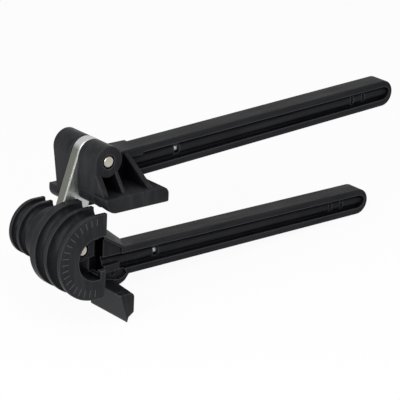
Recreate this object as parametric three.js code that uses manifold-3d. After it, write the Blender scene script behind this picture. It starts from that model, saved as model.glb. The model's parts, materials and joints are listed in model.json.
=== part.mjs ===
// Hand tube bender with a four-groove former, a swinging link and a forming shoe.
// Lengths are millimetres. X runs along the handles, Y along the pins, Z up.
// The tool is first built about the former's axis, then stood on its hook and its handle end.

import * as THREE from 'three';
import { mergeVertices } from 'three/addons/utils/BufferGeometryUtils.js';
import Module from 'manifold-3d';

const wasm = await Module();
wasm.setup();

// Tubes that the tool bends, one groove each
const tubeLargeFront = 9.53;
const tubeLargeRear = 7.94;
const tubeSmallFront = 6.35;
const tubeSmallRear = 4.76;
const tubeClearance = 0.1;

// Former
const bendRadiusLarge = 23.8;
const bendRadiusSmall = 15.7;
const rimOverTube = 0.7;
const rimFront = 2.5;
const rimBetweenLarge = 2.6;
const rimInnerLarge = 5.2;
const rimInnerSmall = 7.6;
const rimBetweenSmall = 2.3;
const rimRear = 2.3;
const formerFlatLength = 6.8;
const pocketRadiusFront = 12.4;
const pocketRadiusRear = 8.2;
const pocketStripLeft = 3.5;
const pocketStripTop = -4;
const hubRightFromAxis = 8.1;

// Pins
const pinRadius = 3.15;
const pinFit = 0.15;
const pinChamfer = 0.5;

// Link
const linkThickness = 6.5;
const linkSideClearance = 0.6;
const linkLength = 51;
const linkHalfWidth = 9.1;
const linkEdgeRound = 0.9;
const linkLean = 18.6;
const linkStopGap = 0.3;
const linkEndClearance = 0.6;

// Handles: a tapered I section moulded round a steel core
const handleWidth = 12;
const handleHeight = 17.4;
const handleTipHeight = 15.8;
const handleFlange = 3.9;
const handleWebHalf = 2.7;
const handleEndRim = 2.4;
const coreRadius = 2.6;
const coreClearance = 0.3;
const coreSkin = 1.3;
const coreLength = 164;
const windowNearLength = 4;
const windowFarLength = 2;
const windowFarPitch = 9;

// Lower handle, root and hook, from the former's axis
const lowerHandleMid = -18.8;
const lowerHandleEnd = 226;
const lowerRecessStart = 24;
const lowerCoreStart = 46;
const lowerWindowNear = 61.5;
const lowerWindowFar = 196.5;
const rootRight = 19;
const rootTop = 5.5;
const rootDepth = 26;
const gussetFrontReach = 39.5;
const gussetFrontRise = 13.5;
const gussetRearReach = 45;
const gussetRearRise = 22;
const hookFrontSetback = 4;
const hookLeft = 20.7;
const hookWidth = 9.8;
const hookRootWidth = 12.6;
const hookTopLarge = -28.3;
const hookTopSmall = -19.2;
const hookCorner = 2.8;
const hookCradleClearance = 0.3;
const hookWaist = -40.1;
const hookNotchWidth = 3.6;
const hookNotchDrop = 2.5;
const hookToe = -45.7;
const hookToeInset = 5.4;
const hookRearToeRise = 2.4;
const underGussetReach = 43.3;
const underGussetDrop = 3.4;
const underGussetStep = 2.8;
const underBlockRight = 36.5;

// Shoe, knuckles and upper handle, from the shoe pin
const knuckleRadius = 9;
const knuckleSideClearance = 0.45;
const knuckleOuterFront = 19.5;
const knuckleOuterRear = 20;
const shoeRunningClearance = 1.2;
const shoeLeftFront = -10.2;
const shoeLeftInner = -8.4;
const shoeLeftRear = -5.7;
const shoeRight = 33;
const shoeThickness = 8.8;
const shoeCornerFront = 7.4;
const shoeCornerInner = 5.5;
const shoeCornerRear = 6;
const shoeEndRound = 4.2;
const shoeSlotEnd = 16.5;
const shoeWallOuter = 6;
const rootBlockRear = 11.8;
const rootBlockRight = 34.3;
const rootBlockStart = 6;
const ribTop = -6;
const ribWideThickness = 3.8;
const ribThinThickness = 2.2;
const ribThinAt = 4;
const ribRootAt = 21.6;
const ribFootInset = 4.5;
const ribRootFootInset = 1.8;
const upperHandleMid = -10.9;
const upperHandleTilt = 2.8;
const upperHandleEnd = 223.8;
const upperRecessStart = 23.8;
const upperCoreStart = 43;
const upperWindowNear = 57.3;
const upperWindowFar = 192;

// Reach of a cutting body past what it cuts, and of joined bodies into each other
const overrun = 2;
const weld = 0.2;

const roundFacets = 64;
const boreFacets = 40;
const grooveFacets = 36;

const black = 0x242527;
const zinc = 0xb9b9b1;
const steel = 0xd6d3c4;

// Places worked out from the sizes above
const slotHalf = linkThickness / 2 + linkSideClearance;
const rimLarge = bendRadiusLarge + rimOverTube;
const rimSmall = bendRadiusSmall + rimOverTube;
const grooveOf = (tube) => tube / 2 + tubeClearance;

const grooveLargeRearY = -slotHalf - rimInnerLarge - grooveOf(tubeLargeRear);
const grooveLargeFrontY =
  grooveLargeRearY - grooveOf(tubeLargeRear) - rimBetweenLarge - grooveOf(tubeLargeFront);
const frontY = grooveLargeFrontY - grooveOf(tubeLargeFront) - rimFront;
const grooveSmallFrontY = slotHalf + rimInnerSmall + grooveOf(tubeSmallFront);
const grooveSmallRearY =
  grooveSmallFrontY + grooveOf(tubeSmallFront) + rimBetweenSmall + grooveOf(tubeSmallRear);
const rearY = grooveSmallRearY + grooveOf(tubeSmallRear) + rimRear;

const groovesLarge = [
  { y: grooveLargeFrontY, tube: tubeLargeFront, bend: bendRadiusLarge },
  { y: grooveLargeRearY, tube: tubeLargeRear, bend: bendRadiusLarge },
];
const groovesSmall = [
  { y: grooveSmallFrontY, tube: tubeSmallFront, bend: bendRadiusSmall },
  { y: grooveSmallRearY, tube: tubeSmallRear, bend: bendRadiusSmall },
];

const handleHalf = handleWidth / 2;
const handleTop = handleHeight / 2;
const lowerHandleTop = lowerHandleMid + handleTop;
const lowerHandleBottom = lowerHandleMid - handleTop;
const upperHandleTop = upperHandleMid + handleTop;
const upperHandleBottom = upperHandleMid - handleTop;
const linkAngle = THREE.MathUtils.degToRad(linkLean);
const upperTilt = THREE.MathUtils.degToRad(upperHandleTilt);
const toeX = hookLeft + hookToeInset;

// Solids

const solid = (geometry) => {
  const bare = geometry.clone();
  bare.deleteAttribute('normal');
  bare.deleteAttribute('uv');
  const merged = mergeVertices(bare);
  return new wasm.Manifold(new wasm.Mesh({
    numProp: 3,
    vertProperties: new Float32Array(merged.attributes.position.array),
    triVerts: new Uint32Array(merged.index.array),
  }));
};

const toGeometry = (body) => {
  const { vertProperties, triVerts } = body.getMesh();
  const geometry = new THREE.BufferGeometry();
  geometry.setAttribute('position', new THREE.BufferAttribute(new Float32Array(vertProperties), 3));
  geometry.setIndex(new THREE.BufferAttribute(new Uint32Array(triVerts), 1));
  return geometry;
};

const join = (bodies) => bodies.reduce((sum, next) => sum.add(next));
const cut = (body, tools) => tools.reduce((rest, next) => rest.subtract(next), body);

const box = (x0, x1, y0, y1, z0, z1) => {
  const geometry = new THREE.BoxGeometry(x1 - x0, y1 - y0, z1 - z0);
  geometry.translate((x0 + x1) / 2, (y0 + y1) / 2, (z0 + z1) / 2);
  return solid(geometry);
};

const cylinderY = (radius, y0, y1, facets) => {
  const geometry = new THREE.CylinderGeometry(radius, radius, y1 - y0, facets);
  geometry.translate(0, (y0 + y1) / 2, 0);
  return solid(geometry);
};

const cylinderX = (radius, x0, x1, y, z) => {
  const geometry = new THREE.CylinderGeometry(radius, radius, x1 - x0, grooveFacets);
  geometry.rotateZ(Math.PI / 2);
  geometry.translate((x0 + x1) / 2, y, z);
  return solid(geometry);
};

const polygon = (points) => new THREE.Shape(points.map(([a, b]) => new THREE.Vector2(a, b)));

// An outline in X and Z, extruded along Y
const extrudeY = (shape, y0, y1, curveSegments = 12) => {
  const geometry = new THREE.ExtrudeGeometry(shape, { depth: y1 - y0, bevelEnabled: false, curveSegments });
  geometry.rotateX(Math.PI / 2);
  geometry.translate(0, y1, 0);
  return solid(geometry);
};

// An outline in Y and Z, extruded along X
const extrudeX = (shape, x0, x1) => {
  const geometry = new THREE.ExtrudeGeometry(shape, { depth: x1 - x0, bevelEnabled: false });
  geometry.applyMatrix4(new THREE.Matrix4().makeBasis(
    new THREE.Vector3(0, 1, 0), new THREE.Vector3(0, 0, 1), new THREE.Vector3(1, 0, 0)));
  geometry.translate(x0, 0, 0);
  return solid(geometry);
};

// An extrusion along Y whose rear outline may differ from its front one, point for point
const loftY = (front, rear, y0, y1) => {
  const geometry = new THREE.ExtrudeGeometry(polygon(front), { depth: y1 - y0, bevelEnabled: false });
  geometry.rotateX(Math.PI / 2);
  geometry.translate(0, y1, 0);
  const position = geometry.attributes.position;
  for (let i = 0; i < position.count; i += 1) {
    if (position.getY(i) > (y0 + y1) / 2) {
      const nearest = front
        .map(([x, z], index) => [Math.hypot(position.getX(i) - x, position.getZ(i) - z), index])
        .sort((a, b) => a[0] - b[0])[0][1];
      position.setX(i, rear[nearest][0]);
      position.setZ(i, rear[nearest][1]);
    }
  }
  return solid(geometry);
};

// Former: rims with half-round grooves, turned over the left half and run straight to the flat

const grooveArcSteps = 10;

const rimProfile = (y0, y1, rim, grooves) => {
  const points = [[y0, rim]];
  for (const { y, tube, bend } of grooves) {
    const radius = grooveOf(tube);
    points.push([y - radius, rim]);
    for (let step = 0; step <= grooveArcSteps; step += 1) {
      const angle = Math.PI * step / grooveArcSteps;
      points.push([y - radius * Math.cos(angle), bend - radius * Math.sin(angle)]);
    }
    points.push([y + radius, rim]);
  }
  points.push([y1, rim]);
  return points;
};

const drum = (y0, y1, rim, grooves) => {
  const profile = rimProfile(y0, y1, rim, grooves);
  const lathePoints = [[y0, 0], ...profile, [y1, 0]].map(([y, r]) => new THREE.Vector2(r, y));
  const round = solid(new THREE.LatheGeometry(lathePoints, roundFacets));
  const far = rim + overrun;
  const leftHalf = box(-far, 0, y0 - overrun, y1 + overrun, -far, far);
  const mirrored = profile.map(([y, r]) => [y, -r]).reverse();
  const straight = extrudeX(polygon([...profile, ...mirrored]), -weld, formerFlatLength);
  return round.intersect(leftHalf).add(straight);
};

// A pocket open to the flat above its strip, which closes it below
const pocket = (radius, y0, y1, stripTop) => cylinderY(radius, y0, y1, roundFacets)
  .add(box(0, pocketStripLeft, y0, y1, -radius, radius))
  .add(box(0, formerFlatLength + overrun, y0, y1, stripTop, radius));

// Handle bar: an I section with a round end and a ridge round its core, along X at height zero

const barOutline = (x0, end, halfHeight, endReach) => {
  const shape = new THREE.Shape();
  shape.moveTo(x0, -halfHeight);
  shape.lineTo(end - handleTop, -halfHeight);
  shape.absellipse(end - handleTop, 0, endReach, halfHeight, -Math.PI / 2, Math.PI / 2, false);
  shape.lineTo(x0, halfHeight);
  return shape;
};

const handleBar = (x0, recessStart, end) => {
  const outline = barOutline(x0, end, handleTop, handleTop);
  const recess = barOutline(recessStart, end, handleTop - handleFlange, handleTop - handleEndRim);
  const recesses = extrudeY(recess, -handleWidth, -handleWebHalf)
    .add(extrudeY(recess, handleWebHalf, handleWidth));
  const ridge = cylinderX(coreRadius + coreClearance + coreSkin, x0, end - handleEndRim, 0, 0);
  const bar = toGeometry(extrudeY(outline, -handleHalf, handleHalf).subtract(recesses).add(ridge));

  const position = bar.attributes.position;
  for (let i = 0; i < position.count; i += 1) {
    const share = (position.getX(i) - x0) / (end - x0);
    const taper = 1 + (handleTipHeight / handleHeight - 1) * share;
    position.setZ(i, position.getZ(i) * taper);
  }
  return bar;
};

// The bore for the core and the windows that show it
const handleCuts = (coreStart, windowNear, windowFar) => {
  const window = (x, length) => box(x, x + length, -handleHalf, handleHalf, -coreRadius, coreRadius);
  const boreStart = coreStart - coreClearance;
  const boreEnd = coreStart + coreLength + coreClearance;
  return [
    cylinderX(coreRadius + coreClearance, boreStart, boreEnd, 0, 0),
    window(windowNear, windowNearLength),
    window(windowFar, windowFarLength),
    window(windowFar + windowFarPitch, windowFarLength),
  ].map(toGeometry);
};

const buildCore = (coreStart) => cylinderX(coreRadius, coreStart, coreStart + coreLength, 0, 0);

// Lower body: former, root, gussets, handle and hook in one moulding

const cornerSteps = 5;

const hookOutline = (top, toe, width) => {
  const right = hookLeft + width;
  const points = [
    [hookLeft, top],
    [toeX, toe],
    [right - hookNotchWidth, hookWaist - hookNotchDrop],
    [right, hookWaist],
  ];
  for (let step = 0; step <= cornerSteps; step += 1) {
    const angle = Math.PI * step / (2 * cornerSteps);
    points.push([
      right - hookCorner + hookCorner * Math.cos(angle),
      top - hookCorner + hookCorner * Math.sin(angle),
    ]);
  }
  return points;
};

const buildHook = () => {
  const front = frontY + hookFrontSetback;
  const rear = grooveSmallRearY + grooveOf(tubeSmallRear);
  const rearToe = hookToe + hookRearToeRise;
  const arm = (top, toe, frontWidth, rearWidth, y0, y1) => loftY(
    hookOutline(top, toe, frontWidth), hookOutline(top, toe, rearWidth), y0, y1);
  const arms = join([
    arm(hookTopLarge, hookToe, hookWidth, hookRootWidth, front, -handleHalf),
    arm(lowerHandleMid, hookToe, hookRootWidth, hookRootWidth, -handleHalf - weld, handleHalf),
    arm(hookTopSmall, rearToe, hookRootWidth, hookWidth, handleHalf - overrun, rear),
  ]);
  const cradles = [...groovesLarge, ...groovesSmall].map(({ y, tube, bend }) => cylinderX(
    tube / 2 + hookCradleClearance, hookLeft - overrun, hookLeft + hookRootWidth + overrun, y, -bend));
  return cut(arms, cradles);
};

const buildGussets = () => {
  const base = lowerHandleTop - handleFlange;
  const upper = loftY(
    [[rootRight - overrun, base], [gussetFrontReach, base], [gussetFrontReach, lowerHandleTop],
      [rootRight - overrun, lowerHandleTop + gussetFrontRise]],
    [[rootRight - overrun, base], [gussetRearReach, base], [gussetRearReach, lowerHandleTop],
      [rootRight - overrun, lowerHandleTop + gussetRearRise]],
    -handleHalf, handleHalf);
  const under = extrudeY(polygon([
    [hookLeft + hookWidth - overrun, lowerHandleBottom + handleFlange],
    [hookLeft + hookWidth - overrun, lowerHandleBottom - 2 * underGussetDrop],
    [underGussetReach - 2 * underGussetStep, lowerHandleBottom - underGussetDrop - underGussetStep / 2],
    [underGussetReach - underGussetStep, lowerHandleBottom - underGussetDrop],
    [underGussetReach, lowerHandleBottom],
    [underGussetReach, lowerHandleBottom + handleFlange / 2],
  ]), -handleHalf, handleHalf);
  const block = box(rootRight - overrun, underBlockRight, -handleHalf, handleHalf,
    lowerHandleBottom + handleFlange - weld, lowerHandleMid);
  return join([upper, under, block]);
};

// The space that the link sweeps, closed on the right by the face that it stops against
const buildLinkSlot = () => {
  const side = box(-linkLength, linkHalfWidth + linkStopGap, -slotHalf, slotHalf, -linkLength, linkLength);
  const sweep = cylinderY(linkHalfWidth + linkEndClearance, -slotHalf, slotHalf, roundFacets);
  return side.rotate([0, linkLean, 0]).add(sweep);
};

const buildFormerHandle = () => {
  const front = drum(frontY, -slotHalf, rimLarge, groovesLarge)
    .subtract(pocket(pocketRadiusFront, frontY - overrun, -knuckleOuterFront, pocketStripTop));
  const rear = drum(slotHalf, rearY, rimSmall, groovesSmall)
    .subtract(pocket(pocketRadiusRear, knuckleOuterRear, rearY + overrun, -pocketRadiusRear));
  const hub = box(0, hubRightFromAxis, -knuckleOuterFront, knuckleOuterRear,
    -pocketRadiusRear, pocketRadiusRear);

  const rootFront = grooveLargeRearY + grooveOf(tubeLargeRear);
  const rootRear = grooveSmallFrontY - grooveOf(tubeSmallFront);
  const root = box(formerFlatLength - weld, rootRight, rootFront, rootRear, rootTop - rootDepth, rootTop);

  const bar = handleBar(rootRight - overrun, lowerRecessStart, lowerHandleEnd);
  const cuts = handleCuts(lowerCoreStart, lowerWindowNear, lowerWindowFar);
  for (const piece of [bar, ...cuts]) piece.translate(0, 0, lowerHandleMid);

  const joined = join([front, rear, hub, root, solid(bar), buildGussets(), buildHook()]);
  const pinBore = cylinderY(pinRadius + pinFit, frontY, rearY, boreFacets);
  return cut(joined, [buildLinkSlot(), pinBore, ...cuts.map(solid)]);
};

// Shoe, knuckles and upper handle in one moulding, about the shoe pin

const shoeUnder = (rim) => rim + shoeRunningClearance - linkLength;

const shoeOutline = (left, corner, under) => {
  const top = under + shoeThickness;
  const shape = new THREE.Shape();
  shape.moveTo(left + corner, under);
  shape.lineTo(shoeRight, under);
  shape.lineTo(shoeRight, top - shoeEndRound);
  shape.absarc(shoeRight - shoeEndRound, top - shoeEndRound, shoeEndRound, 0, Math.PI / 2, false);
  shape.lineTo(left, top);
  shape.absarc(left + corner, under + corner, corner, Math.PI, 3 * Math.PI / 2, false);
  return shape;
};

// A rib across the shoe, from the knuckle or the wall out to the edge of the plate
const shoeRib = (x0, thickness, inner, top, outer, foot, footZ) => {
  const points = [[inner, top], [outer, top], [foot, footZ], [foot, footZ - overrun], [inner, footZ - overrun]];
  return extrudeX(polygon(points), x0, x0 + thickness);
};

const buildShoe = () => {
  const inner = linkThickness / 2 + knuckleSideClearance;
  const underLarge = shoeUnder(rimLarge);
  const underSmall = shoeUnder(rimSmall);
  const topLarge = underLarge + shoeThickness;
  const topSmall = underSmall + shoeThickness;

  const knuckles = cylinderY(knuckleRadius, -knuckleOuterFront, -inner, roundFacets)
    .add(cylinderY(knuckleRadius, inner, knuckleOuterRear, roundFacets));
  const plates = join([
    extrudeY(shoeOutline(shoeLeftFront, shoeCornerFront, underLarge), frontY, -knuckleOuterFront, 10),
    extrudeY(shoeOutline(shoeLeftInner, shoeCornerInner, underLarge),
      -knuckleOuterFront - overrun, shoeWallOuter, 10),
    extrudeY(shoeOutline(shoeLeftRear, shoeCornerRear, underSmall), inner, rearY, 10),
  ]);

  const wallFront = polygon([
    [-knuckleRadius, 0], [shoeLeftInner, topLarge - weld], [upperRecessStart, topLarge - weld],
    [upperRecessStart, upperHandleTop - handleFlange / 2], [rootBlockStart, upperHandleTop], [0, 0],
  ]);
  const wallRear = polygon([
    [-knuckleRadius, 0], [shoeLeftRear, topSmall - overrun], [shoeRight - shoeEndRound, topSmall - overrun],
    [shoeRight - shoeEndRound, topLarge - weld], [upperRecessStart, topLarge - weld],
    [upperRecessStart, upperHandleTop - handleFlange / 2], [rootBlockStart, upperHandleTop], [0, 0],
  ]);
  const walls = extrudeY(wallFront, -shoeWallOuter, 0).add(extrudeY(wallRear, 0, shoeWallOuter));
  const rootBlock = box(rootBlockStart, rootBlockRight, -handleHalf, rootBlockRear,
    upperHandleTop - handleFlange, upperHandleTop);

  const frontFoot = frontY + ribFootInset;
  const frontFootRoot = frontY + ribRootFootInset;
  const rearFoot = rearY - ribRootFootInset;
  const ribs = join([
    shoeRib(-knuckleRadius, ribWideThickness, -inner, ribTop, -knuckleOuterFront, frontFoot, topLarge),
    shoeRib(ribThinAt, ribThinThickness, -inner, ribTop, -knuckleOuterFront, frontFoot, topLarge),
    shoeRib(ribRootAt, ribThinThickness, -inner, upperHandleTop, -handleHalf, frontFootRoot, topLarge),
    shoeRib(ribThinAt, ribThinThickness, inner, ribTop, knuckleOuterRear, rearFoot, topSmall),
    shoeRib(ribRootAt, ribThinThickness, inner, upperHandleTop, rootBlockRear, rearFoot, topSmall),
  ]);
  const cheek = (left, low, y0, y1) => extrudeY(polygon([
    [-knuckleRadius, 0], [left, low], [left + ribWideThickness, low], [ribWideThickness - knuckleRadius, 0],
  ]), y0, y1);
  const cheeks = cheek(shoeLeftInner, topLarge - weld, -knuckleOuterFront, -inner)
    .add(cheek(shoeLeftRear, topSmall - overrun, inner, knuckleOuterRear));
  return join([knuckles, plates, walls, rootBlock, ribs, cheeks]);
};

const buildShoeHandle = () => {
  const inner = linkThickness / 2 + knuckleSideClearance;
  const bar = handleBar(rootBlockStart + knuckleRadius, upperRecessStart, upperHandleEnd);
  const cuts = handleCuts(upperCoreStart, upperWindowNear, upperWindowFar);
  for (const piece of [bar, ...cuts]) {
    piece.translate(0, 0, upperHandleMid);
    piece.rotateY(-upperTilt);
  }
  const linkRoom = linkHalfWidth + linkEndClearance;
  const slotBottom = shoeUnder(rimSmall) - overrun;
  const slot = extrudeY(polygon([
    [shoeLeftFront - overrun, 0], [shoeLeftFront - overrun, slotBottom],
    [shoeSlotEnd, slotBottom], [linkRoom, 0],
  ]), -inner, inner);
  const grooveCut = (rim) => ({ y, tube }) => cylinderX(grooveOf(tube), shoeLeftFront - overrun,
    shoeRight + overrun, y, shoeUnder(rim) - shoeRunningClearance - rimOverTube);
  const joined = join([buildShoe(), solid(bar)]);
  return cut(joined, [
    slot,
    cylinderY(linkRoom, -inner, inner, roundFacets),
    cylinderY(pinRadius + pinFit, frontY, rearY, boreFacets),
    ...groovesLarge.map(grooveCut(rimLarge)),
    ...groovesSmall.map(grooveCut(rimSmall)),
    ...cuts.map(solid),
  ]);
};

const buildLink = () => {
  const shape = new THREE.Shape();
  shape.absarc(0, 0, linkHalfWidth, Math.PI, 2 * Math.PI, false);
  shape.absarc(0, linkLength, linkHalfWidth, 0, Math.PI, false);
  const geometry = new THREE.ExtrudeGeometry(shape, {
    depth: linkThickness - 2 * linkEdgeRound,
    bevelEnabled: true,
    bevelThickness: linkEdgeRound,
    bevelSize: linkEdgeRound,
    bevelOffset: -linkEdgeRound,
    bevelSegments: 3,
    curveSegments: 20,
  });
  geometry.rotateX(Math.PI / 2);
  geometry.translate(0, linkThickness / 2 - linkEdgeRound, 0);
  const bore = cylinderY(pinRadius + pinFit, -linkThickness, linkThickness, boreFacets);
  return cut(solid(geometry), [bore, bore.translate([0, 0, linkLength])]);
};

const buildPin = () => {
  const points = [
    [0, -knuckleOuterFront],
    [pinRadius - pinChamfer, -knuckleOuterFront],
    [pinRadius, -knuckleOuterFront + pinChamfer],
    [pinRadius, knuckleOuterRear - pinChamfer],
    [pinRadius - pinChamfer, knuckleOuterRear],
    [0, knuckleOuterRear],
  ];
  return solid(new THREE.LatheGeometry(points.map(([r, y]) => new THREE.Vector2(r, y)), boreFacets));
};

// Nodes

const toMesh = (name, body, color, roughness, metalness) => {
  const geometry = toGeometry(body);
  geometry.computeVertexNormals();
  const mesh = new THREE.Mesh(geometry, new THREE.MeshStandardMaterial({ color, roughness, metalness }));
  mesh.name = name;
  return mesh;
};

const tool = new THREE.Group();
tool.add(toMesh('former_handle', buildFormerHandle(), black, 0.5, 0));
tool.add(toMesh('former_pin', buildPin(), steel, 0.3, 1));

const lowerCore = toMesh('lower_core_rod', buildCore(lowerCoreStart), steel, 0.35, 1);
lowerCore.position.z = lowerHandleMid;
tool.add(lowerCore);

const link = toMesh('link', buildLink(), zinc, 0.35, 1);
link.rotation.y = linkAngle;
tool.add(link);

const shoe = new THREE.Group();
shoe.position.set(linkLength * Math.sin(linkAngle), 0, linkLength * Math.cos(linkAngle));
shoe.add(toMesh('shoe_handle', buildShoeHandle(), black, 0.5, 0));
shoe.add(toMesh('shoe_pin', buildPin(), steel, 0.3, 1));
tool.add(shoe);

const upperCore = toMesh('upper_core_rod', buildCore(upperCoreStart), steel, 0.35, 1);
upperCore.position.z = upperHandleMid;
const tilted = new THREE.Group();
tilted.rotation.y = -upperTilt;
tilted.add(upperCore);
shoe.add(tilted);

// Stand the tool on the hook's toe and the round end of the lower handle

const endRadius = handleTipHeight / 2;
const reach = lowerHandleEnd - handleTop - toeX;
const drop = lowerHandleMid - hookToe;
tool.rotation.y = Math.atan2(drop, reach) - Math.asin(endRadius / Math.hypot(reach, drop));

const part = new THREE.Group();
part.add(tool);
part.updateMatrixWorld(true);
const bounds = new THREE.Box3().setFromObject(part, true);
const centre = bounds.getCenter(new THREE.Vector3());
tool.position.set(-centre.x, -centre.y, -bounds.min.z);

export default part;
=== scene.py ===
import json
import math

import bpy
from bpy.props import FloatProperty, FloatVectorProperty, IntProperty, PointerProperty
from mathutils import Matrix, Vector


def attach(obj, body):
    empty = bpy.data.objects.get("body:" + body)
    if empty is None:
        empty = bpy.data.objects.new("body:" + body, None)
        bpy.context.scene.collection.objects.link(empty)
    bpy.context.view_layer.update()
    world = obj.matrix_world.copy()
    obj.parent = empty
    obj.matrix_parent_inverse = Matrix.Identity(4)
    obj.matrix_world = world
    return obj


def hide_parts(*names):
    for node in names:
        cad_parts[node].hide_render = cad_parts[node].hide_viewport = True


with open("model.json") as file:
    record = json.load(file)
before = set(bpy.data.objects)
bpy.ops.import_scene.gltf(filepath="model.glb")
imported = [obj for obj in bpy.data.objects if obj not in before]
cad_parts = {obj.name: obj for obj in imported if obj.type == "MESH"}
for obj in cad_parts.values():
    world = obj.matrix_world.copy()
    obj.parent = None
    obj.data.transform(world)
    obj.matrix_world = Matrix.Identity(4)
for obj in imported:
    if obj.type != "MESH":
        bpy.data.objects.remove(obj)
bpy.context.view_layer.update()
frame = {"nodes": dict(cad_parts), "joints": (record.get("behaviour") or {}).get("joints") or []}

bl_info = {
    "name": "Hand Tube Bender",
    "version": (1, 0, 0),
    "blender": (4, 5, 0),
    "location": "3D View > Sidebar > Tube Bender",
    "description": "Models a hand tube bender with a grooved former, a steel link and a forming shoe",
    "category": "Object",
}

MM = 0.001


# Sizes and colours

def mm(name, size, about):
    return FloatProperty(name=name, description=about, default=size * MM, unit="LENGTH", precision=5)


def turn(name, degrees, about):
    return FloatProperty(name=name, description=about, default=math.radians(degrees), unit="ROTATION")


def tint(name, colour, about):
    return FloatVectorProperty(name=name, description=about, default=colour, min=0, max=1, subtype="COLOR")


def share(name, value, about):
    return FloatProperty(name=name, description=about, default=value, min=0, max=1, subtype="FACTOR")


class FormerSizes(bpy.types.PropertyGroup):
    """The former, its grooves and its root"""
    tube_large_front: mm("Front large tube", 9.53, "Tube of the first groove")
    tube_large_rear: mm("Rear large tube", 7.94, "Tube of the second groove")
    tube_small_front: mm("Front small tube", 6.35, "Tube of the third groove")
    tube_small_rear: mm("Rear small tube", 4.76, "Tube of the groove at the rear")
    tube_clearance: mm("Groove clearance", 0.1, "Room round each tube")
    bend_large: mm("Large bend radius", 23.8, "Bend radius of the two large grooves")
    bend_small: mm("Small bend radius", 15.7, "Bend radius of the two small grooves")
    rim_over: mm("Rim over tube", 0.7, "Height of the rims over the tube's middle")
    rim_front: mm("Front rim", 2.5, "Width of the front rim")
    rim_between_large: mm("Large middle rim", 2.6, "Rim between the large grooves")
    rim_inner_large: mm("Large inner rim", 5.2, "Rim between the large grooves and the link")
    rim_inner_small: mm("Small inner rim", 7.6, "Rim between the link and the small grooves")
    rim_between_small: mm("Small middle rim", 2.3, "Rim between the small grooves")
    rim_rear: mm("Rear rim", 2.3, "Width of the rear rim")
    flat: mm("Flat", 6.8, "Straight run of the grooves from the axis")
    pocket_front: mm("Front pocket radius", 12.4, "Radius of the front pocket")
    pocket_right: mm("Front pocket shift", 0.9, "Shift of that pocket to the right of the pin")
    pocket_drop: mm("Front pocket drop", 0.9, "Shift of that pocket down from the pin")
    pocket_rear: mm("Rear pocket radius", 8.2, "Radius of the rear pocket")
    strip_left: mm("Strip left", 3.5, "Left side of the strip under the pin")
    strip_top: mm("Strip top", -8.6, "Top of that strip")
    hub_right: mm("Hub end", 8.1, "Right end of the hub")
    root_right: mm("Root end", 19, "Right end of the root")
    root_top: mm("Root top", 5.5, "Top of the root over the axis")
    root_depth: mm("Root depth", 26, "Height of the root")
    gusset_front_reach: mm("Gusset front reach", 39.5, "Right end of the top gusset's front edge")
    gusset_front_rise: mm("Gusset front rise", 13.5, "Height of that edge over the handle")
    gusset_rear_reach: mm("Gusset rear reach", 45, "Right end of the top gusset's rear edge")
    gusset_rear_rise: mm("Gusset rear rise", 22, "Height of that edge over the handle")
    hollow_left: mm("Hollow left", 12.6, "Left side of the root's front hollow")
    hollow_right: mm("Hollow right", 25, "Its right side")
    hollow_top: mm("Hollow top", -0.4, "Its top")
    hollow_low: mm("Hollow bottom", -12.2, "Its bottom beside the gusset")
    hollow_deep: mm("Hollow deep end", -19.4, "Its bottom beside the hub")
    hollow_step: mm("Hollow step", 17.6, "Where it starts to reach into the handle")
    hollow_handle: mm("Hollow in the handle", -23.8, "Its bottom in the handle")
    hollow_shallow: mm("Lower hollow depth", 10.8, "Depth of its low half")
    hollow_depth: mm("Hollow depth", 11.2, "Its depth from the root's front")
    boss_radius: mm("Boss radius", 6, "Radius of the boss round the pin")
    boss_low: mm("Boss bottom", -4.8, "Bottom of the boss")
    boss_stand: mm("Boss stand", 3.6, "Height of the boss over the pocket's floor")
    strip_depth: mm("Strip thickness", 2.8, "Thickness of the strip in the front pocket")
    panel_depth: mm("Panel depth", 0.9, "Setback of the top gusset's front panel")
    panel_rim: mm("Panel rim", 1.5, "Height of the rim over that panel")
    pin_ring: mm("Pin ring", 0.75, "Width of the sunk ring round a pin")
    edge: mm("Rim rounding", 0.35, "Rounding of the rims")


class HookSizes(bpy.types.PropertyGroup):
    """The hook that holds the tube"""
    setback: mm("Front setback", 4, "Distance behind the former's front")
    left: mm("Left side", 20.7, "Left side from the former's axis")
    width: mm("Width", 9.8, "Width at the ends")
    root_width: mm("Root width", 12.6, "Width under the handle")
    top_large: mm("Top at the large tubes", -28.3, "Height of the front arm")
    top_small: mm("Top at the small tubes", -19.2, "Height of the rear arm")
    corner: mm("Corner", 2.8, "Rounding of the top right edge")
    waist: mm("Waist", -40.1, "Where the right side turns in")
    notch_width: mm("Notch width", 3.6, "Width of the step in the toe")
    notch_drop: mm("Notch drop", 2.5, "Drop of the step in the toe")
    toe: mm("Toe", -45.7, "Lowest point of the front toe")
    toe_inset: mm("Toe inset", 5.4, "Toe from the left side")
    rear_toe_rise: mm("Rear toe rise", 2.4, "How much shorter the rear arm is")
    cradle: mm("Cradle clearance", 0.3, "Room round a tube in the hook")
    under_reach: mm("Under gusset reach", 43.3, "Right end of the lower gusset")
    under_drop: mm("Under gusset drop", 3.4, "Depth of the lower gusset")
    under_step: mm("Under gusset step", 2.8, "Slope at its end")
    block_right: mm("Block end", 36.5, "Right end of the block in the recess")
    pocket_left: mm("Pocket left", 26.3, "Left side of the lower gusset's pocket")
    pocket_top: mm("Pocket top", -23.2, "Top of that pocket")
    pocket_rim: mm("Pocket rim", 1.7, "Width of the rim round that pocket")
    pocket_depth: mm("Pocket depth", 1.6, "Depth of that pocket")
    mark_radius: mm("Ejector mark", 1.5, "Radius of the mark in that pocket")
    mark_place: mm("Mark place", 32.7, "Place along the handle")
    mark_height: mm("Mark height", -25.2, "Height of that mark")
    edge: mm("Rounding", 0.35, "Rounding of the edges")


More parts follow.
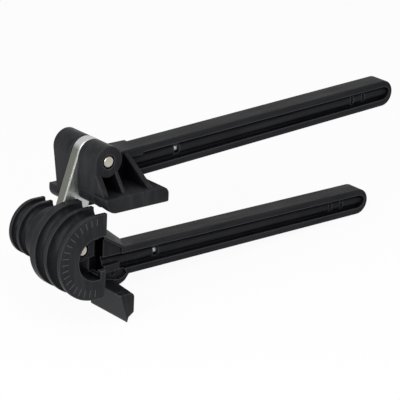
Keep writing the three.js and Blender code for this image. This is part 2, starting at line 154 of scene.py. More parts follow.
class LinkSizes(bpy.types.PropertyGroup):
    """The steel link and the two pins"""
    thickness: mm("Thickness", 6.5, "Thickness along the pins")
    length: mm("Length", 51, "Distance from pin to pin")
    half_width: mm("Half width", 9.1, "Half the width of the link")
    edge: mm("Rounding", 1.1, "Rounding of the long edges")
    side_clearance: mm("Side clearance", 0.6, "Room beside the link in the former")
    end_clearance: mm("End clearance", 0.6, "Room round the ends of the link")
    stop_gap: mm("Stop gap", 0.3, "Room between the link and its stop")
    lean: turn("Lean", 18.6, "Lean towards the handles")
    pin_radius: mm("Pin radius", 3.15, "Radius of both pins")
    pin_fit: mm("Pin fit", 0.15, "Room round a pin")
    pin_chamfer: mm("Pin chamfer", 0.5, "Chamfer at the ends of a pin")


class HandleSizes(bpy.types.PropertyGroup):
    """The two long handles"""
    width: mm("Width", 12, "Width along the pins")
    height: mm("Height", 17.4, "Height at the root")
    tip_height: mm("Tip height", 15.8, "Height at the far end")
    flange: mm("Flange", 3.9, "Thickness of the flanges")
    end_rim: mm("End rim", 2.4, "Rim round the far end")
    web: mm("Web", 5.4, "Thickness between the two recesses")
    ridge: mm("Ridge radius", 4.2, "Radius of the ridge round the core")
    ridge_end: mm("Ridge end", 2, "Where the ridge ends before the far end")
    bore: mm("Bore radius", 2.9, "Radius of the bore for the core")
    window_height: mm("Window height", 5.2, "Height of the windows")
    window_near: mm("Near window", 4, "Length of the near window")
    window_far: mm("Far window", 2, "Length of the far windows")
    window_pitch: mm("Far window pitch", 9, "Distance of the far windows")
    core_length: mm("Core length", 164, "Length of the steel core")
    edge: mm("Rounding", 0.5, "Rounding of the long edges")
    lower_mid: mm("Lower mid", -18.8, "Its middle from the former's axis")
    lower_end: mm("Lower end", 226, "Far end of the lower handle")
    lower_recess: mm("Lower recess", 24, "Start of the lower recess")
    lower_core: mm("Lower core", 46, "Start of the lower core")
    lower_near: mm("Lower near window", 61.5, "Place of the near window")
    lower_far: mm("Lower far windows", 196.5, "Place of the far windows")
    upper_mid: mm("Upper mid", -10.9, "Its middle from the shoe pin")
    upper_end: mm("Upper end", 223.8, "Far end of the upper handle")
    upper_recess: mm("Upper recess", 23.8, "Start of the upper recess")
    upper_core: mm("Upper core", 43, "Start of the upper core")
    upper_near: mm("Upper near window", 57.3, "Place of the near window")
    upper_far: mm("Upper far windows", 192, "Place of the far windows")
    upper_tilt: turn("Upper tilt", 2.8, "Its tilt against the shoe")


class ShoeSizes(bpy.types.PropertyGroup):
    """The forming shoe and its knuckles, from the shoe pin"""
    knuckle: mm("Knuckle radius", 9, "Radius of the knuckles")
    knuckle_clearance: mm("Knuckle clearance", 0.45, "Room between the link and each knuckle")
    knuckle_front: mm("Knuckle front", 19.5, "Front end of the knuckles")
    knuckle_rear: mm("Knuckle rear", 20, "Rear end of the knuckles")
    running: mm("Running clearance", 1.2, "Room between the shoe and the former")
    left_front: mm("Front left end", -10.2, "Left end of the front plate")
    left_inner: mm("Inner left end", -8.4, "Left end of the inner plate")
    left_rear: mm("Rear left end", -5.7, "Left end of the rear plate")
    right: mm("Right end", 33, "Right end of the plates")
    thickness: mm("Thickness", 8.8, "Thickness of the plates")
    corner_front: mm("Front corner", 7.4, "Rounding of the front plate's lead-in")
    corner_inner: mm("Inner corner", 5.5, "Rounding of the inner plate's lead-in")
    corner_rear: mm("Rear corner", 6, "Rounding of the rear plate's lead-in")
    end_round: mm("End rounding", 4.2, "Rounding at the right end")
    slot_end: mm("Slot end", 16.5, "Right end of the slot for the link")
    wall: mm("Wall", 6, "Thickness of each wall")
    block_rear: mm("Block rear", 11.8, "Rear side of the root block")
    block_right: mm("Block right", 34.3, "Right end of the root block")
    block_start: mm("Block start", 6, "Left end of the root block")
    rib_top: mm("Rib top", -6, "Where the ribs leave the knuckles")
    rib_wide: mm("Wide rib", 3.8, "Thickness of the left rib")
    rib_thin: mm("Thin rib", 2.2, "Thickness of the other ribs")
    rib_middle: mm("Middle rib", 4, "Place of the middle rib")
    rib_root: mm("Rear root rib", 21.6, "Place of the rear root rib")
    rib_root_front: mm("Front root rib", 20.4, "Place of the front root rib")
    rib_root_thick: mm("Root rib thickness", 3.4, "Thickness of that rib")
    rib_foot: mm("Rib foot", 4.5, "Foot from the edge of the plate")
    rib_root_foot: mm("Root rib foot", 1.8, "Foot from the edge of the plate")
    edge: mm("Rounding", 0.4, "Rounding of the edges")
    plate_edge: mm("Plate rounding", 0.9, "Rounding of the front plate and root rib")


class MarkSizes(bpy.types.PropertyGroup):
    """The angle marks on the face of the former"""
    count: IntProperty(name="Marks", description="Marks round the half circle", default=19, min=2)
    size: mm("Length", 4.2, "Length of a mark")
    width: mm("Width", 0.55, "Width of a mark")
    height: mm("Height", 0.15, "How far a mark stands out")
    inset: mm("Inset", 1.6, "Distance from the rim")


class FinishSettings(bpy.types.PropertyGroup):
    """Colours and gloss"""
    plastic: tint("Black plastic", (0.0090, 0.0094, 0.0112), "Colour of the mouldings")
    plastic_worn: tint("Worn plastic", (0.0235, 0.024, 0.0255), "Colour of the scuffs")
    # Painted shade: this near-black colour is blended into the hollows and over the handles in place of
    # shade.
    plastic_painted_shade: tint("Deep plastic", (0.002, 0.002, 0.0025), "Colour in the hollows")
    # Edge wear and painted highlight: edges and thin ribs are lightened to this colour.
    plastic_edge_highlight: tint("Rubbed edges", (0.05, 0.051, 0.055), "Colour of the edges")
    plastic_gloss: share("Plastic roughness", 0.48, "Roughness of the mouldings")
    zinc: tint("Zinc", (0.56, 0.565, 0.56), "Colour of the link")
    # Painted dark reflection: the link's edge faces are darkened to this colour.
    zinc_edge_dark_reflection: tint("Zinc edge", (0.16, 0.165, 0.144), "Colour of the link's blanked edge")
    zinc_gloss: share("Zinc roughness", 0.42, "Roughness of the link")
    steel: tint("Steel", (0.52, 0.49, 0.41), "Colour of the pins")
    core: tint("Core steel", (0.44, 0.5, 0.54), "Colour of the cores")
    steel_gloss: share("Steel roughness", 0.26, "Roughness of the pins and cores")


class StageSettings(bpy.types.PropertyGroup):
    """Camera, lamps and floor"""
    azimuth: turn("Azimuth", -39.879, "Camera azimuth about the former's axis")
    elevation: turn("Elevation", 20.086, "Camera elevation over the handles")
    roll: turn("Roll", 2.59, "Camera roll")
    distance: mm("Distance", 1293.506, "Camera distance")
    aside: mm("Aside", 76.386, "Camera place right of the former's axis")
    above: mm("Above", 22.171, "Camera place above the former's axis")
    lens: FloatProperty(name="Lens", description="Focal length", default=210.892, unit="CAMERA")
    world: share("World light", 0.5, "Strength of the even light")
    floor: tint("Floor", (0.86, 0.86, 0.86), "Colour of the floor")
    floor_glow: share("Floor glow", 0.93, "How far the camera sees the floor as white")


# Places that follow from the sizes

def tool_tilt(link):
    """How far the handles tip down towards their far end, from the two hinges of the frame."""
    lower, upper = (Vector(joint["pos_m"]) for joint in frame["joints"])
    across = upper - lower
    return math.atan2(across.x, across.z) - link.lean


def tool_place(link):
    """From the former's axis, with X along the handles, to the standing part."""
    axis = Vector(frame["joints"][0]["pos_m"])
    return Matrix.Translation(axis) @ Matrix.Rotation(tool_tilt(link), 4, "Y")


def shoe_place(link):
    away = Vector((math.sin(link.lean), 0, math.cos(link.lean))) * link.length
    return tool_place(link) @ Matrix.Translation(away)


def root_place(scene):
    """Where the handles begin, from the middle of the part."""
    return frame["joints"][0]["pos_m"][0] + scene.former_sizes.gusset_rear_reach


def slot_half(link):
    return link.thickness / 2 + link.side_clearance


def groove(tube, former):
    return tube / 2 + former.tube_clearance


def stations(former, link):
    """Where the grooves and the outer faces lie along the pins."""
    radii = [groove(tube, former) for tube in (
        former.tube_large_front, former.tube_large_rear, former.tube_small_front, former.tube_small_rear)]
    inner = slot_half(link)
    large_rear = -inner - former.rim_inner_large - radii[1]
    large_front = large_rear - radii[1] - former.rim_between_large - radii[0]
    small_front = inner + former.rim_inner_small + radii[2]
    small_rear = small_front + radii[2] + former.rim_between_small + radii[3]
    return {
        "large": [(large_front, former.tube_large_front), (large_rear, former.tube_large_rear)],
        "small": [(small_front, former.tube_small_front), (small_rear, former.tube_small_rear)],
        "front": large_front - radii[0] - former.rim_front,
        "rear": small_rear + radii[3] + former.rim_rear,
        "root_front": large_rear + radii[1],
        "root_rear": small_front - radii[2],
        "hook_rear": small_rear + radii[3],
    }


def all_grooves(former, where):
    """Place, tube and bend radius of the four grooves."""
    return [(y, tube, bend) for side, bend in (("large", former.bend_large), ("small", former.bend_small))
            for y, tube in where[side]]


# Modelling

OVERLAP = 2 * MM  # how far pieces run into each other, and cuts run out of them
NICK = 0.5 * MM  # the same, where there is less room
HAIR = 0.01 * MM  # points that lie closer than this are one point


def only(piece):
    bpy.ops.object.select_all(action="DESELECT")
    piece.select_set(True)
    bpy.context.view_layer.objects.active = piece


def apply_place():
    bpy.ops.object.transform_apply(location=True, rotation=True, scale=True)


def apply_modifier(piece, kind, **settings):
    modifier = piece.modifiers.new(kind, kind)
    for name, value in settings.items():
        setattr(modifier, name, value)
    only(piece)
    bpy.ops.object.modifier_apply(modifier=modifier.name)
    return piece


def copy(piece):
    only(piece)
    bpy.ops.object.duplicate(linked=False)
    return bpy.context.object


def place(piece, matrix):
    """Moves the piece and makes its place part of its shape."""
    piece.matrix_world = matrix
    bpy.context.view_layer.update()
    only(piece)
    apply_place()
    return piece


def select(piece, kind, wanted):
    """Selects the corners or the faces that the test picks, and stays in edit mode."""
    bpy.ops.mesh.select_mode(type=kind)
    bpy.ops.mesh.select_all(action="DESELECT")
    bpy.ops.object.mode_set(mode="OBJECT")
    for part in piece.data.polygons if kind == "FACE" else piece.data.vertices:
        part.select = wanted(part)
    bpy.ops.object.mode_set(mode="EDIT")


def extrude(step):
    bpy.ops.mesh.extrude_region_move(TRANSFORM_OT_translate={"value": step})


def done():
    bpy.ops.mesh.select_mode(type="VERT")
    bpy.ops.mesh.select_all(action="SELECT")
    bpy.ops.mesh.normals_make_consistent(inside=False)
    bpy.ops.object.mode_set(mode="OBJECT")


def draw(name, points):
    """A face drawn from point to point by extruding one vertex, left in edit mode with all selected."""
    bpy.ops.object.select_all(action="DESELECT")
    bpy.ops.mesh.primitive_plane_add(size=MM, location=points[0])
    piece = bpy.context.object
    piece.name = name
    apply_place()
    bpy.ops.object.mode_set(mode="EDIT")
    bpy.ops.mesh.select_all(action="SELECT")
    bpy.ops.mesh.merge(type="CENTER")
    for before, after in zip(points, points[1:]):
        extrude(Vector(after) - Vector(before))
    bpy.ops.mesh.select_all(action="SELECT")
    bpy.ops.mesh.edge_face_add()
    bpy.ops.mesh.select_all(action="SELECT")
    return piece


def round_edges(piece, width, angle=35):
    if not width:
        return piece
    return apply_modifier(piece, "BEVEL", width=width, segments=3, limit_method="ANGLE",
                          angle_limit=math.radians(angle))


def prism(name, corners, start, end, edge=0.0, along="Y"):
    """A flat outline extruded along Y or X, with rounded edges."""
    if along == "Y":
        points, step = [(a, start, b) for a, b in corners], (0, end - start, 0)
    else:
        points, step = [(start, a, b) for a, b in corners], (end - start, 0, 0)
    piece = draw(name, points)
    extrude(step)
    done()
    return round_edges(piece, edge)


def block(name, x0, x1, y0, y1, z0, z1, edge=0.0):
    return prism(name, [(x0, z0), (x1, z0), (x1, z1), (x0, z1)], y0, y1, edge)


def rod(name, radius, start, end, x=0.0, y=0.0, z=0.0, edge=0.0, sides=96, along="Y"):
    """A round bar along Y or X."""
    middle = (start + end) / 2
    if along == "Y":
        spot, turning = (x, middle, z), (math.pi / 2, 0, 0)
    else:
        spot, turning = (middle, y, z), (0, math.pi / 2, 0)
    bpy.ops.object.select_all(action="DESELECT")
    bpy.ops.mesh.primitive_cylinder_add(
        vertices=sides, radius=radius, depth=abs(end - start), location=spot, rotation=turning)
    piece = bpy.context.object
    piece.name = name
    apply_place()
    return round_edges(piece, edge)


def combine(piece, others, operation):
    for other in others:
        apply_modifier(piece, "BOOLEAN", operation=operation, solver="MANIFOLD", object=other)
        bpy.data.objects.remove(other)
        if not piece.data.polygons:
            raise RuntimeError(piece.name + " came out empty")
    return piece


def join(piece, *others):
    return combine(piece, others, "UNION")


def cut(piece, *others):
    return combine(piece, others, "DIFFERENCE")


def corner(centre, radius, first, last, steps=8):
    """Points of an arc, angles in degrees from the first axis towards the second."""
    angles = [math.radians(first + (last - first) * step / steps) for step in range(steps + 1)]
    return [(centre[0] + radius * math.cos(t), centre[1] + radius * math.sin(t)) for t in angles]


def deliver(piece, name, body, slot, material, *nodes):
    only(piece)
    piece.name = name
    bpy.ops.object.shade_smooth_by_angle(angle=math.radians(32))
    apply_modifier(piece, "WEIGHTED_NORMAL", mode="FACE_AREA_WITH_ANGLE", weight=80, keep_sharp=True)
    piece.data.materials.clear()
    piece.data.materials.append(material)
    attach(piece, body)
    if nodes:
        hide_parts(*nodes)


# Finishes

class Tree:
    """Adds nodes to a material or a world. Any input takes a value or another node's output."""

    def __init__(self, tree):
        self.nodes, self.links = tree.nodes, tree.links

    def set(self, socket, value):
        if isinstance(value, bpy.types.NodeSocket):
            self.links.new(value, socket)
        else:
            socket.default_value = value

    def node(self, kind, inputs, **settings):
        made = self.nodes.new(kind)
        for name, value in settings.items():
            setattr(made, name, value)
        for name, value in inputs.items():
            self.set(made.inputs[name], value)
        return made

    def place(self):
        return self.node("ShaderNodeTexCoord", {}).outputs["Object"]

    def along(self, axis):
        return self.node("ShaderNodeSeparateXYZ", {"Vector": self.place()}).outputs[axis]

    def noise(self, scale, detail, stretch=(1, 1, 1)):
        at = self.node("ShaderNodeMapping", {"Vector": self.place(), "Scale": stretch})
        return self.node("ShaderNodeTexNoise", {
            "Vector": at.outputs["Vector"], "Scale": scale, "Detail": detail}).outputs["Fac"]

    def span(self, value, low, high, start=0.3, stop=0.7):
        """Low up to the start, high from the stop on."""
        return self.node("ShaderNodeMapRange", {
            "Value": value, "From Min": start, "From Max": stop, "To Min": low, "To Max": high}).outputs[0]

    def math(self, operation, first, second=0.0):
        return self.node("ShaderNodeMath", {0: first, 1: second}, operation=operation).outputs["Value"]

    def blend(self, share, first, second):
        first, second = (value if isinstance(value, bpy.types.NodeSocket) else (*value, 1)
                         for value in (first, second))
        return self.node("ShaderNodeMix", {"Factor": share, 6: first, 7: second}, data_type="RGBA").outputs[2]

    def openness(self, reach, inside=False):
        """How open the surface is within the reach; from inside, how far it is from an edge."""
        return self.node("ShaderNodeAmbientOcclusion", {"Distance": reach}, samples=8, only_local=True,
                         inside=inside).outputs["AO"]

    def bump(self, height, strength, distance, **under):
        return self.node("ShaderNodeBump", {
            "Height": height, "Strength": strength, "Distance": distance, **under}).outputs["Normal"]

    def seen(self):
        """One for a ray that comes from the camera or a reflection."""
        rays = self.node("ShaderNodeLightPath", {}).outputs
        return self.math("MAXIMUM", rays["Is Camera Ray"], rays["Is Glossy Ray"])

    def mix_surface(self, share, first, second, output):
        mix = self.node("ShaderNodeMixShader", {0: share, 1: first, 2: second})
        self.links.new(mix.outputs["Shader"], self.nodes[output].inputs["Surface"])

    def shade(self, **inputs):
        shader = self.nodes["Principled BSDF"]
        for name, value in inputs.items():
            self.set(shader.inputs[name.replace("_", " ")], value)
        return shader.outputs["BSDF"]


def finish(name, build, *values):
    """The material of that name, whose nodes are built when it is first asked for."""
    made = bpy.data.materials.get(name)
    if not made:
        made = bpy.data.materials.new(name)
        made.use_nodes = True
        build(Tree(made.node_tree), *values)
    return made


def dimmed(colour, share):
    return tuple(value * share for value in colour)


def plastic(tree, colours, root):
    """Satin black plastic, with a fine grain, flow clouds and scuffs, painted shade in the hollows and over
    the handles, and worn edges with a painted highlight.
    """
    blend_length = 4 * MM
    painted_shade_reach, edge_highlight_reach = 24 * MM, 0.9 * MM
    streak_depth, grain_depth = 0.12 * MM, 0.05 * MM
    handle_painted_shade = 0.24
    worn, deep, gloss = colours.plastic_worn, colours.plastic_painted_shade, colours.plastic_gloss
    grain = tree.noise(scale=2600, detail=3)
    clouds = tree.noise(scale=60, detail=4)
    handle = tree.span(tree.along("X"), 0, 1, root - blend_length, root + blend_length)
    upright = tree.noise(scale=300, detail=4, stretch=(1, 0.8, 0.12))
    lengthwise = tree.noise(scale=330, detail=4, stretch=(0.05, 1, 1))
    streaks = tree.blend(handle, upright, lengthwise)
    tone = tree.blend(tree.span(clouds, low=0, high=0.5), colours.plastic, worn)
    tone = tree.blend(tree.span(streaks, low=0, high=0.8, start=0.45), tone, worn)
    # Painted shade: where local occlusion finds a hollow, the colour is blended towards the shade colour.
    tone = tree.blend(tree.span(tree.openness(painted_shade_reach), low=0, high=1, stop=0.88), deep, tone)
    # Painted shade: along the handles the colour is blended part way towards the shade colour.
    tone = tree.blend(tree.math("MULTIPLY", handle, handle_painted_shade), tone, deep)
    # Edge wear and painted highlight: edges found from inside the surface are lightened.
    edge_wear_and_highlight = tree.span(tree.openness(edge_highlight_reach, inside=True), low=1, high=0, start=0.45, stop=0.9)
    tone = tree.blend(edge_wear_and_highlight, tone, colours.plastic_edge_highlight)
    rough = tree.math("ADD", tree.span(clouds, low=-0.05, high=0.05),
                      tree.span(handle, low=-0.08, high=0.02, start=0, stop=1))
    rough = tree.math("ADD", rough, tree.span(streaks, low=gloss - 0.1, high=gloss + 0.08))
    coarse = tree.bump(streaks, strength=0.3, distance=streak_depth)
    normal = tree.bump(grain, strength=0.28, distance=grain_depth, Normal=coarse)
    tree.shade(Base_Color=tone, Roughness=rough, Normal=normal, Specular_IOR_Level=0.07)


def zinc(tree, colours, link):
    """Zinc plated steel with brush lines and clouds; a painted dark reflection on the edge faces, which is
    left out near the top as a painted highlight.
    """
    lower, upper = (joint["pos_m"] for joint in frame["joints"])
    half = link.thickness / 2
    face_start, face_stop = half - 0.35 * MM, half - 0.1 * MM
    highlight_start, highlight_stop = upper[2] + 4.5 * MM, upper[2] + 7 * MM
    brush = tree.noise(scale=900, detail=4, stretch=(1, 1, 0.06))
    clouds = tree.noise(scale=130, detail=3)
    flat = tree.blend(tree.span(clouds, low=0, high=1), colours.zinc, dimmed(colours.zinc, 0.82))
    away = tree.math("ABSOLUTE", tree.math("SUBTRACT", tree.along("Y"), lower[1]))
    # Painted dark reflection: the edge faces take the darker edge colour.
    tone = tree.blend(tree.span(away, 0, 1, face_start, face_stop), colours.zinc_edge_dark_reflection, flat)
    # Painted highlight: near the top of the link, the edge keeps the bright face colour.
    tone = tree.blend(tree.span(tree.along("Z"), 0, 1, highlight_start, highlight_stop), tone, flat)
    rough = tree.span(brush, low=colours.zinc_gloss - 0.08, high=colours.zinc_gloss + 0.1)
    normal = tree.bump(brush, strength=0.12, distance=0.03 * MM)
    tree.shade(Base_Color=tone, Roughness=rough, Normal=normal, Metallic=1)


def steel(tree, colour, gloss):
    """Bright steel with fine turning marks."""
    turned = tree.noise(scale=1500, detail=3, stretch=(1, 0.2, 1))
    clouds = tree.noise(scale=240, detail=3)
    tone = tree.blend(tree.span(clouds, low=0, high=1), colour, dimmed(colour, 0.8))
    rough = tree.span(turned, low=gloss - 0.06, high=gloss + 0.1)
    normal = tree.bump(turned, strength=0.1, distance=0.02 * MM)
    tree.shade(Base_Color=tone, Roughness=rough, Normal=normal, Metallic=1)


def plastic_finish(scene):
    return finish("satin_black_plastic", plastic, scene.finishes, root_place(scene))


# Shapes that both mouldings share

def bar_outline(handle, start, end, left, inset_flange, inset_end):
    """The outline of the tapered bar, or that of its recess, with a round far end."""
    def high(x):
        part = (x - start) / (end - start)
        return (handle.height + (handle.tip_height - handle.height) * part) / 2 - inset_flange

    tip = handle.tip_height / 2 - inset_end
    centre = end - handle.tip_height / 2
    squash = high(centre) / tip
    arc = [(x, z * squash) for x, z in corner((centre, 0), tip, -90, 90, steps=24)]
    return [(left, -high(left)), *arc, (left, high(left))]


def handle_bar(name, handle, start, recess, end):
    half, web = handle.width / 2, handle.web / 2
    bar = prism(name, bar_outline(handle, start, end, start, 0, 0), -half, half, handle.edge)
    inner = bar_outline(handle, start, end, recess, handle.flange, handle.end_rim)
    for side in (-1, 1):
        cut(bar, prism("recess", inner, side * web, side * (half + MM)))
    return join(bar, rod("ridge", handle.ridge, start, end - handle.ridge_end, sides=64, along="X"))


def handle_cuts(handle, core, near, far):
    """The bore of the core and the windows that show it."""
    half, high, slack = handle.width / 2, handle.window_height / 2, 0.3 * MM
    small = handle.window_far
    windows = ((near, handle.window_near), (far, small), (far + handle.window_pitch, small))
    return [rod("bore", handle.bore, core - slack, core + handle.core_length + slack, sides=48, along="X"),
            *(block("window", x, x + size, -half, half, -high, high) for x, size in windows)]


def pin_cuts(former, link, shoe, where):
    """The bore of a pin and the sunk rings round its ends."""
    bore = link.pin_radius + link.pin_fit
    ring, deep = bore + former.pin_ring, 1.6 * MM
    return [rod("pin_bore", bore, where["front"], where["rear"]),
            rod("ring", ring, -shoe.knuckle_front - OVERLAP, deep - shoe.knuckle_front, sides=64),
            rod("ring", ring, shoe.knuckle_rear - deep, shoe.knuckle_rear + OVERLAP, sides=64)]


# The lower moulding

def drum(name, y0, y1, bend, grooves, former):
    """Half a grooved wheel spun about the pins, run on straight to the right."""
    rim, steps = bend + former.rim_over, 18
    profile = [(0, y0, 0), (0, y0, rim)]
    for y, tube in grooves:
        radius = groove(tube, former)
        turns = [math.pi * step / steps for step in range(steps + 1)]
        arc = [(0, y - radius * math.cos(t), bend - radius * math.sin(t)) for t in turns]
        profile += [(0, y - radius, rim), *arc, (0, y + radius, rim)]
    wheel = draw(name, [*profile, (0, y1, rim), (0, y1, 0)])
    bpy.ops.mesh.spin(steps=72, angle=math.pi, center=(0, 0, 0), axis=(0, 1, 0))
    bpy.ops.mesh.select_all(action="SELECT")
    bpy.ops.mesh.remove_doubles(threshold=HAIR)
    select(wheel, "FACE", lambda face: all(abs(wheel.data.vertices[v].co.x) < HAIR for v in face.vertices))
    extrude((former.flat, 0, 0))
    done()
    return round_edges(wheel, former.edge)


def front_drum(former, link, shoe, where):
    """The large grooves, with a pocket that has a stepped floor, a boss and a strip across it."""
    front, floor, far = where["front"], -shoe.knuckle_front, former.flat + OVERLAP
    left, strip, radius = former.strip_left, former.strip_top, former.pocket_front
    high, low = radius - former.pocket_drop, -radius - former.pocket_drop
    body = drum("front_drum", front, -slot_half(link), former.bend_large, where["large"], former)
    arc = corner((former.pocket_right, -former.pocket_drop), radius, 90, 270, steps=48)
    outline = [*arc, (left, low), (left, strip), (far, strip), (far, high)]
    cut(body, prism("pocket", outline, front - OVERLAP, floor))
    ring = prism("ring", [*arc, (far, low), (far, high)], floor - MM, floor + former.boss_stand)
    inside = floor - OVERLAP, floor + 2 * former.boss_stand
    boss = rod("boss", former.boss_radius, *inside, sides=64)
    beside = block("beside", 0, far + MM, *inside, former.boss_low, 2 * radius)
    cut(body, cut(ring, join(boss, beside)))
    behind, wall = front + former.strip_depth, 1.5 * MM
    return cut(body, block("behind_strip", left - MM, far, behind, floor, low + wall, strip + MM))


def rear_drum(former, link, shoe, where):
    """The small grooves, with a plain pocket."""
    radius, far = former.pocket_rear, former.flat + OVERLAP
    body = drum("rear_drum", slot_half(link), where["rear"], former.bend_small, where["small"], former)
    outline = [*corner((0, 0), radius, 90, 270, steps=48), (far, -radius), (far, radius)]
    return cut(body, prism("pocket", outline, shoe.knuckle_rear, where["rear"] + OVERLAP))


def hook_outline(hook, top, toe, width):
    right = hook.left + width
    slope = hook.toe_inset / (hook.top_large - hook.toe)
    return [
        (hook.left, top), (hook.left, hook.top_large - hook.edge),
        (hook.left + slope * (hook.top_large - toe), toe),
        (right - hook.notch_width, hook.waist - hook.notch_drop), (right, hook.waist),
        *corner((right - hook.corner, top - hook.corner), hook.corner, 0, 90),
    ]


def hook_arm(name, hook, top, toe, widths, y0, y1):
    """An arm of the hook, with its own width at either end."""
    arm = draw(name, [(x, y0, z) for x, z in hook_outline(hook, top, toe, widths[0])])
    extrude((0, y1 - y0, 0))
    grown = widths[1] - widths[0]
    if grown:
        middle = hook.left + min(widths) - hook.notch_width - NICK
        select(arm, "VERT", lambda point: abs(point.co.y - y1) < HAIR and point.co.x > middle)
        bpy.ops.transform.translate(value=(grown, 0, 0))
    done()
    return round_edges(arm, hook.edge)


def hook_arms(former, hook, handle, where):
    half, slim, wide = handle.width / 2, hook.width, hook.root_width
    front, rear = where["front"] + hook.setback, where["hook_rear"]
    toe, rear_toe = hook.toe, hook.toe + hook.rear_toe_rise
    left, right = hook.left - OVERLAP, hook.left + wide + OVERLAP
    body = join(hook_arm("front_arm", hook, hook.top_large, toe, (slim, wide), front, -half),
                hook_arm("middle", hook, handle.lower_mid, toe, (wide, wide), -half - NICK, half),
                hook_arm("rear_arm", hook, hook.top_small, rear_toe, (wide, slim), half - OVERLAP, rear))
    return cut(body, *(rod("cradle", tube / 2 + hook.cradle, left, right, y=y, z=-bend, sides=64, along="X")
                       for y, tube, bend in all_grooves(former, where)))


def lower_edges(handle):
    """Bottom and top of the lower handle at its root."""
    return handle.lower_mid - handle.height / 2, handle.lower_mid + handle.height / 2


def top_gusset(former, handle):
    """The gusset on the handle, whose rear edge stands higher than its front one."""
    half, top, left = handle.width / 2, lower_edges(handle)[1], former.root_right - OVERLAP
    reach, rise = former.gusset_front_reach, former.gusset_front_rise
    front = [(left, top - handle.flange), (reach, top - handle.flange), (reach, top), (left, top + rise)]
    gusset = draw("top_gusset", [(x, -half, z) for x, z in front])
    extrude((0, handle.width, 0))
    onward, upward = (former.gusset_rear_reach - reach, 0, 0), (0, 0, former.gusset_rear_rise - rise)
    for (x, z), step in zip(front[1:], (onward, onward, upward)):
        spot = Vector((x, half, z))
        select(gusset, "VERT", lambda point: (point.co - spot).length < HAIR)
        bpy.ops.transform.translate(value=step)
    done()
    return round_edges(gusset, handle.edge)


def root_hollows(former, handle, where):
    """The hollow in the front of the root and the panel of the gusset, which are cut out."""
    front, half, top = where["root_front"], handle.width / 2, lower_edges(handle)[1]
    left, right, low, step = former.hollow_left, former.hollow_right, former.hollow_low, former.hollow_step
    outline = [(left, low), (right, low), (right, former.hollow_top), (left, former.hollow_top)]
    lower = [(left, former.hollow_deep), (step, former.hollow_deep), (step, former.hollow_handle),
             (right, former.hollow_handle), (right, low + MM), (left, low + MM)]
    start, rise = former.root_right - OVERLAP, former.gusset_front_rise
    slope = rise / (former.gusset_front_reach - start)
    rim = top + rise - former.panel_rim
    stop = start + (rim - top + NICK) / slope
    base = top - handle.flange - NICK
    panel = [(start, base), (stop, base), (stop, top - NICK), (start, rim)]
    return [prism("hollow", outline, front - OVERLAP, front + former.hollow_depth, edge=0.6 * MM),
            prism("low_hollow", lower, front - OVERLAP, front + former.hollow_shallow, edge=0.6 * MM),
            prism("panel", panel, -half - OVERLAP, former.panel_depth - half, edge=0.3 * MM)]


def under_gusset(hook, handle):
    half, bottom, reach = handle.width / 2, lower_edges(handle)[0], hook.under_reach
    drop, step, left = hook.under_drop, hook.under_step, hook.left + hook.width - OVERLAP
    outline = [(left, bottom + handle.flange), (left, bottom - 2 * drop),
               (reach - 2 * step, bottom - drop - step / 2), (reach - step, bottom - drop),
               (reach, bottom), (reach, bottom + handle.flange / 2)]
    return prism("under_gusset", outline, -half, half, hook.edge)


def under_pocket(hook, handle):
    """The pocket in the front of that gusset, with a round ejector mark in its floor."""
    front, floor, bottom = -handle.width / 2, hook.pocket_depth - handle.width / 2, lower_edges(handle)[0]
    rim, drop, step = hook.pocket_rim, hook.under_drop, hook.under_step
    right, slope_rim, mark_depth = hook.under_reach - rim, 1.4 * rim, 0.6 * MM
    outline = [(hook.pocket_left, hook.pocket_top), (hook.pocket_left, bottom + rim / 2),
               (right - 2 * step, bottom - drop + rim), (right - step, bottom - drop + slope_rim),
               (right, bottom + rim / 2), (right - rim, hook.pocket_top)]
    mark = rod("mark", hook.mark_radius, front, floor + mark_depth, x=hook.mark_place, z=hook.mark_height,
               edge=0.15 * MM, sides=32)
    return join(prism("pocket", outline, front - MM, floor, edge=0.4 * MM), mark)


def under_block(former, hook, handle):
    """Fills the low half of the handle's recess next to the hook."""
    half, sunk = handle.width / 2, 0.2 * MM
    base = lower_edges(handle)[0] + handle.flange - sunk
    return block("under_block", former.root_right - OVERLAP, hook.block_right, -half, half, base,
                 handle.lower_mid, hook.edge)


def link_slot(former, link):
    """The room of the link, from its lean to its place at the end of the swing."""
    half, reach = slot_half(link), link.length
    side = block("link_side", -reach, link.half_width + link.stop_gap, -half, half, -reach, reach)
    return [place(side, Matrix.Rotation(link.lean, 4, "Y")),
            rod("link_sweep", link.half_width + link.end_clearance, -half, half)]


def lower_moulding(scene):
    former, hook, link, handle, shoe = (
        scene.former_sizes, scene.hook_sizes, scene.link_sizes, scene.handle_sizes, scene.shoe_sizes)
    where = stations(former, link)
    front, rear, high = -shoe.knuckle_front, shoe.knuckle_rear, former.pocket_rear
    lift = Matrix.Translation((0, 0, handle.lower_mid))
    start, root_left = former.root_right - OVERLAP, former.flat - 0.4 * MM
    body = join(
        front_drum(former, link, shoe, where),
        rear_drum(former, link, shoe, where),
        block("hub", 0, former.hub_right, 0, rear, -high, high, edge=0.3 * MM),
        block("front_hub", 0, former.hub_right, front, MM, former.boss_low, high, edge=0.3 * MM),
        block("root", root_left, former.root_right, where["root_front"], where["root_rear"],
              former.root_top - former.root_depth, former.root_top, edge=0.4 * MM),
        place(handle_bar("lower_bar", handle, start, handle.lower_recess, handle.lower_end), lift),
        top_gusset(former, handle), under_gusset(hook, handle), under_block(former, hook, handle),
        hook_arms(former, hook, handle, where))
    windows = handle_cuts(handle, handle.lower_core, handle.lower_near, handle.lower_far)
    return cut(body, *link_slot(former, link), *pin_cuts(former, link, shoe, where),
               *root_hollows(former, handle, where), under_pocket(hook, handle),
               *(place(each, lift) for each in windows))


# The upper moulding

